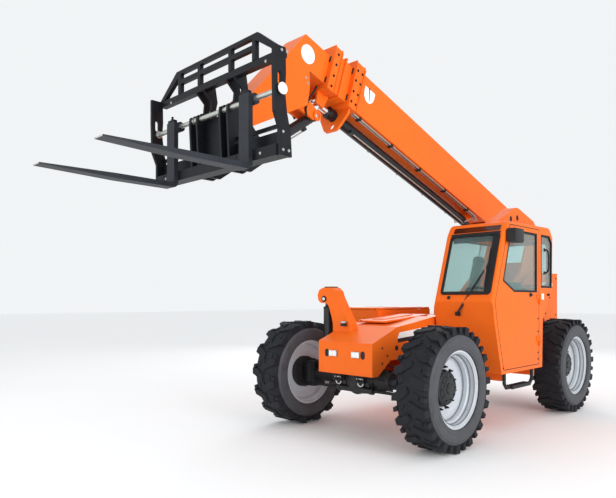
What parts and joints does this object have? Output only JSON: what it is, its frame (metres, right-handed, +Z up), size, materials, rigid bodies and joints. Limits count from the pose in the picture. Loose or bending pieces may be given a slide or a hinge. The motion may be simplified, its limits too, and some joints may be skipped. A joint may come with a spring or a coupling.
{
  "type": "telehandler",
  "caption": "Telescopic handler with four steered wheels, enclosed cab, three-stage boom raised above level and a fork carriage.",
  "frame": {"origin": "on the ground under the middle of the whole length", "axes": "X forward, Y to the machine's left, Z up"},
  "size_m": [7.4953, 2.511, 4.1704],
  "materials": {
    "orange_paint": "satin",
    "light_grey_paint": "satin",
    "dark_paint": "satin",
    "tyre_rubber": "matte",
    "cylinder_paint": "satin",
    "chrome_rod": "polished",
    "tinted_glass": "polished",
    "black_plastic": "matte",
    "steel": "brushed",
    "cast_metal": "matte"
  },
  "bodies": {
    "chassis": {"frame": "orange_paint", "boom_risers": "orange_paint", "boom_pivot_pin": "steel", "rear_body": "orange_paint", "front_axle": "dark_paint", "rear_axle": "dark_paint", "level_horn": "orange_paint", "level_barrel": "cylinder_paint", "level_rod": "chrome_rod", "cab_shell": "orange_paint", "roof_guard": "orange_paint", "glass_front": "tinted_glass", "glass_inner": "tinted_glass", "glass_rear": "tinted_glass", "glass_quarter": "tinted_glass", "seat": "black_plastic", "dash": "black_plastic", "steering_wheel": "black_plastic", "cab_step": "black_plastic", "engine_bay": "orange_paint", "engine_block": "cast_metal", "hydraulic_tank": "dark_paint", "nose_lamps": "black_plastic"},
    "door": {"cab_door": "orange_paint", "glass_door": "tinted_glass", "cab_mirror": "black_plastic"},
    "hood": {"engine_hood": "orange_paint"},
    "outer_boom": {"boom_outer": "orange_paint", "extend_barrel": "cylinder_paint"},
    "mid_boom": {"boom_mid": "orange_paint", "extend_rod": "chrome_rod"},
    "inner_boom": {"boom_inner": "orange_paint"},
    "lift_barrel_body": {"lift_barrel": "cylinder_paint"},
    "lift_rod_body": {"lift_rod": "chrome_rod"},
    "tilt_barrel_body": {"tilt_barrel": "cylinder_paint"},
    "tilt_rod_body": {"tilt_rod": "chrome_rod"},
    "carriage": {"carriage_frame": "dark_paint", "fork_shaft": "steel"},
    "left_fork": {"fork_left": "dark_paint"},
    "right_fork": {"fork_right": "dark_paint"},
    "knuckle_body_fl": {"knuckle_fl": "dark_paint"},
    "wheel_fl": {"tyre_fl": "tyre_rubber", "rim_fl": "light_grey_paint", "hub_fl": "cast_metal"},
    "knuckle_body_fr": {"knuckle_fr": "dark_paint"},
    "wheel_fr": {"tyre_fr": "tyre_rubber", "rim_fr": "light_grey_paint", "hub_fr": "cast_metal"},
    "knuckle_body_rl": {"knuckle_rl": "dark_paint"},
    "wheel_rl": {"tyre_rl": "tyre_rubber", "rim_rl": "light_grey_paint", "hub_rl": "cast_metal"},
    "knuckle_body_rr": {"knuckle_rr": "dark_paint"},
    "wheel_rr": {"tyre_rr": "tyre_rubber", "rim_rr": "light_grey_paint", "hub_rr": "cast_metal"}
  },
  "joints": [
    {"name": "steer_fl", "type": "hinge", "parent": "chassis", "child": "knuckle_body_fl", "pos_m": [0.334, 0.85, 0.635], "axis": [0, 0, 1], "range_deg": [-35, 35]},
    {"name": "wheel_spin_fl", "type": "hinge", "parent": "knuckle_body_fl", "child": "wheel_fl", "pos_m": [0.334, 1.04, 0.635], "axis": [0, 1, 0], "continuous": true},
    {"name": "steer_fr", "type": "hinge", "parent": "chassis", "child": "knuckle_body_fr", "pos_m": [0.334, -0.85, 0.635], "axis": [0, 0, 1], "range_deg": [-35, 35]},
    {"name": "wheel_spin_fr", "type": "hinge", "parent": "knuckle_body_fr", "child": "wheel_fr", "pos_m": [0.334, -1.04, 0.635], "axis": [0, 1, 0], "continuous": true},
    {"name": "steer_rl", "type": "hinge", "parent": "chassis", "child": "knuckle_body_rl", "pos_m": [-2.746, 0.85, 0.635], "axis": [0, 0, 1], "range_deg": [-35, 35]},
    {"name": "wheel_spin_rl", "type": "hinge", "parent": "knuckle_body_rl", "child": "wheel_rl", "pos_m": [-2.746, 1.04, 0.635], "axis": [0, 1, 0], "continuous": true},
    {"name": "steer_rr", "type": "hinge", "parent": "chassis", "child": "knuckle_body_rr", "pos_m": [-2.746, -0.85, 0.635], "axis": [0, 0, 1], "range_deg": [-35, 35]},
    {"name": "wheel_spin_rr", "type": "hinge", "parent": "knuckle_body_rr", "child": "wheel_rr", "pos_m": [-2.746, -1.04, 0.635], "axis": [0, 1, 0], "continuous": true},
    {"name": "cab_door_hinge", "type": "hinge", "parent": "chassis", "child": "door", "pos_m": [-1.6485, 1.182, 1.54], "axis": [0, 0, 1], "range_deg": [0, 110]},
    {"name": "engine_hood_hinge", "type": "hinge", "parent": "chassis", "child": "hood", "pos_m": [-1.006, -0.404, 1.414], "axis": [-1, 0, 0], "range_deg": [0, 60]},
    {"name": "boom_lift", "type": "hinge", "parent": "chassis", "child": "outer_boom", "pos_m": [-3.406, 0, 2.6], "axis": [0, -1, 0], "range_deg": [-21.6, 52.2]},
    {"name": "boom_extend", "type": "slide", "parent": "outer_boom", "child": "mid_boom", "axis": [0.9521, 0, 0.3057], "range_m": [0, 2.2]},
    {"name": "inner_extend", "type": "slide", "parent": "mid_boom", "child": "inner_boom", "axis": [0.9521, 0, 0.3057], "range_m": [0, 2.2]},
    {"name": "carriage_tilt", "type": "hinge", "parent": "inner_boom", "child": "carriage", "pos_m": [2.2945, 0, 3.09848], "axis": [0, -1, 0], "range_deg": [-75, 30]},
    {"name": "lift_barrel_swing", "type": "hinge", "parent": "chassis", "child": "lift_barrel_body", "pos_m": [-1.806, 0, 0.9], "axis": [0, -1, 0], "range_deg": [-1, 1]},
    {"name": "lift_rod_slide", "type": "slide", "parent": "lift_barrel_body", "child": "lift_rod_body", "axis": [-0.3812, 0, 0.9245], "range_m": [-0.31, 0.745]},
    {"name": "tilt_barrel_swing", "type": "hinge", "parent": "inner_boom", "child": "tilt_barrel_body", "pos_m": [1.20447, 0, 3.41858], "axis": [0, -1, 0], "range_deg": [-5, 11]},
    {"name": "tilt_rod_slide", "type": "slide", "parent": "tilt_barrel_body", "child": "tilt_rod_body", "axis": [0.8378, 0, -0.546], "range_m": [-0.28, 0.115]},
    {"name": "fork_left_shift", "type": "slide", "parent": "carriage", "child": "left_fork", "axis": [0, 1, 0], "range_m": [-0.18, 0.25]},
    {"name": "fork_right_shift", "type": "slide", "parent": "carriage", "child": "right_fork", "axis": [0, -1, 0], "range_m": [-0.18, 0.25]}
  ],
  "couplings": [
    {"joint": "steer_fr", "follows": "steer_fl", "ratio": 1},
    {"joint": "steer_rr", "follows": "steer_rl", "ratio": 1},
    {"joint": "inner_extend", "follows": "boom_extend", "ratio": 1},
    {"joint": "lift_barrel_swing", "follows": "boom_lift", "ratio": -0.015},
    {"joint": "lift_rod_slide", "follows": "boom_lift", "m_per_rad": 0.81},
    {"joint": "tilt_barrel_swing", "follows": "carriage_tilt", "ratio": -0.135},
    {"joint": "tilt_rod_slide", "follows": "carriage_tilt", "m_per_rad": 0.21}
  ]
}
